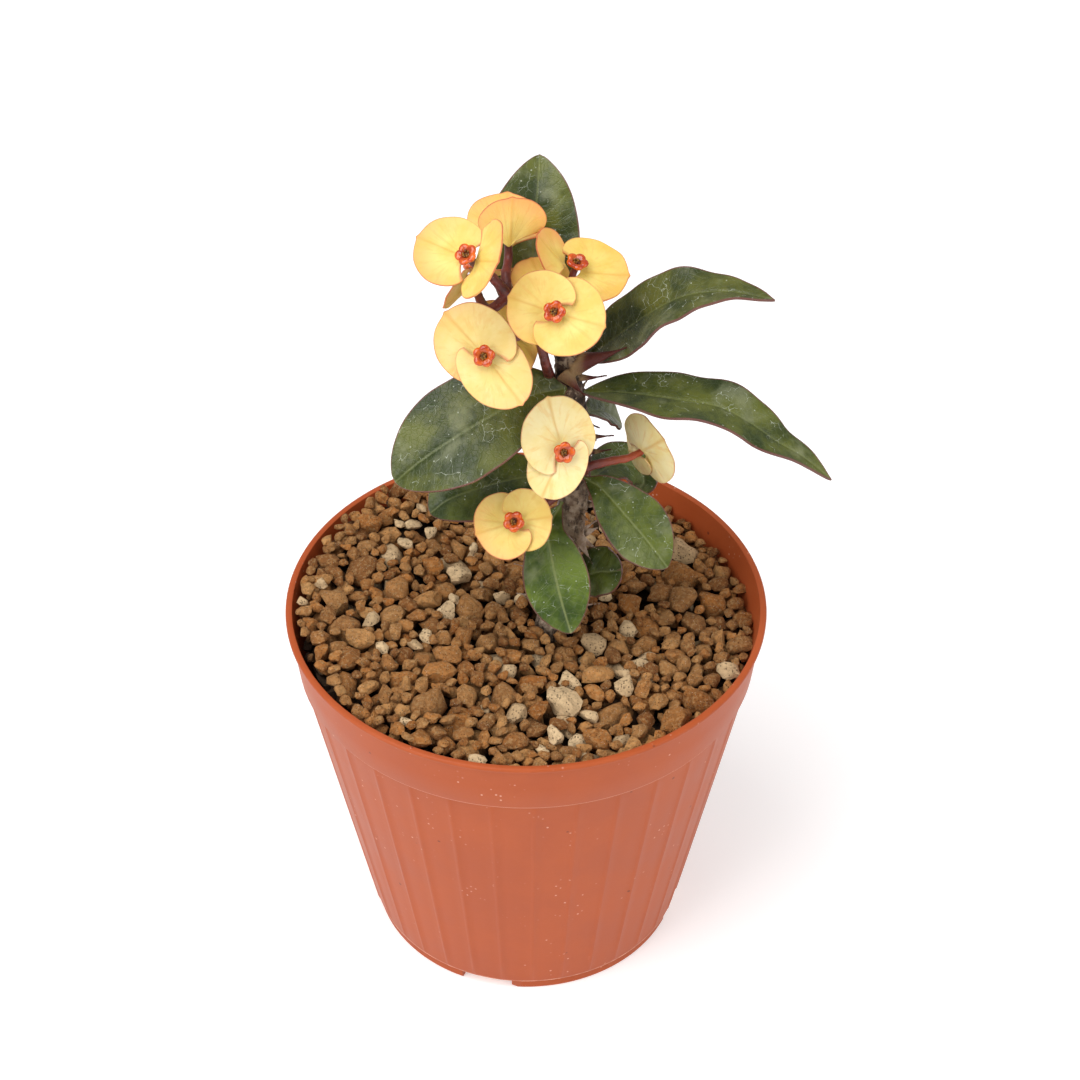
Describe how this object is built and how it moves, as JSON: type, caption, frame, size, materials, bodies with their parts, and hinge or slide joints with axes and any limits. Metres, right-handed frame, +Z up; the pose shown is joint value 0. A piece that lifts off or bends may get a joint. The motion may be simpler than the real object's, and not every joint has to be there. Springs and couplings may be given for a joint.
{
  "type": "potted euphorbia",
  "caption": "Young thorny euphorbia with pale yellow flowers and green leaves, growing in a round ribbed plastic nursery pot filled with brown mineral grit.",
  "frame": {"origin": "centre of the pot's round base, on the surface that it stands on", "axes": "+Z up along the pot's axis, -Y towards the front, where most of the flowers look, +X to the right, where the two longest leaves reach"},
  "size_m": [0.1315, 0.12, 0.2192],
  "materials": {
    "pot_plastic": "terracotta-coloured moulded plastic, semi-gloss, with fine specks",
    "grit": "rough porous brown grains with some pale pumice",
    "bark": "dark corky bark, matt, with red-brown thorns",
    "leaf_green": "smooth waxy leaf, semi-gloss, with pale lime marks",
    "stalk_red": "smooth maroon stalk, semi-gloss",
    "bract_yellow": "soft matt petal, pale yellow with an orange-pink blush and a thin red margin",
    "gland_orange": "glossy orange-red glands round an olive centre"
  },
  "bodies": {
    "root": {"pot": "pot_plastic", "gravel_bed": "grit", "stem": "bark", "flower_10_bract_a": "bract_yellow", "flower_10_bract_b": "bract_yellow", "flower_10_cup": "gland_orange", "flower_11_bract_a": "bract_yellow", "flower_11_bract_b": "bract_yellow", "flower_11_cup": "gland_orange", "flower_1_bract_a": "bract_yellow", "flower_1_bract_b": "bract_yellow", "flower_1_cup": "gland_orange", "flower_2_bract_a": "bract_yellow", "flower_2_bract_b": "bract_yellow", "flower_2_cup": "gland_orange", "flower_3_bract_a": "bract_yellow", "flower_3_bract_b": "bract_yellow", "flower_3_cup": "gland_orange", "flower_4_bract_a": "bract_yellow", "flower_4_bract_b": "bract_yellow", "flower_4_cup": "gland_orange", "flower_5_bract_a": "bract_yellow", "flower_5_bract_b": "bract_yellow", "flower_5_cup": "gland_orange", "flower_6_bract_a": "bract_yellow", "flower_6_bract_b": "bract_yellow", "flower_6_cup": "gland_orange", "flower_7_bract_a": "bract_yellow", "flower_7_bract_b": "bract_yellow", "flower_7_cup": "gland_orange", "flower_8_bract_a": "bract_yellow", "flower_8_bract_b": "bract_yellow", "flower_8_cup": "gland_orange", "flower_9_bract_a": "bract_yellow", "flower_9_bract_b": "bract_yellow", "flower_9_cup": "gland_orange", "leaf_curled": "leaf_green", "leaf_front": "leaf_green", "leaf_left_lower": "leaf_green", "leaf_left_upper": "leaf_green", "leaf_right_front": "leaf_green", "leaf_right_lower": "leaf_green", "leaf_right_middle": "leaf_green", "leaf_right_upper": "leaf_green", "leaf_small": "leaf_green", "leaf_top_back": "leaf_green", "stalk_back": "stalk_red", "stalk_front": "stalk_red", "stalk_low": "stalk_red", "stalk_top": "stalk_red"}
  },
  "joints": []
}
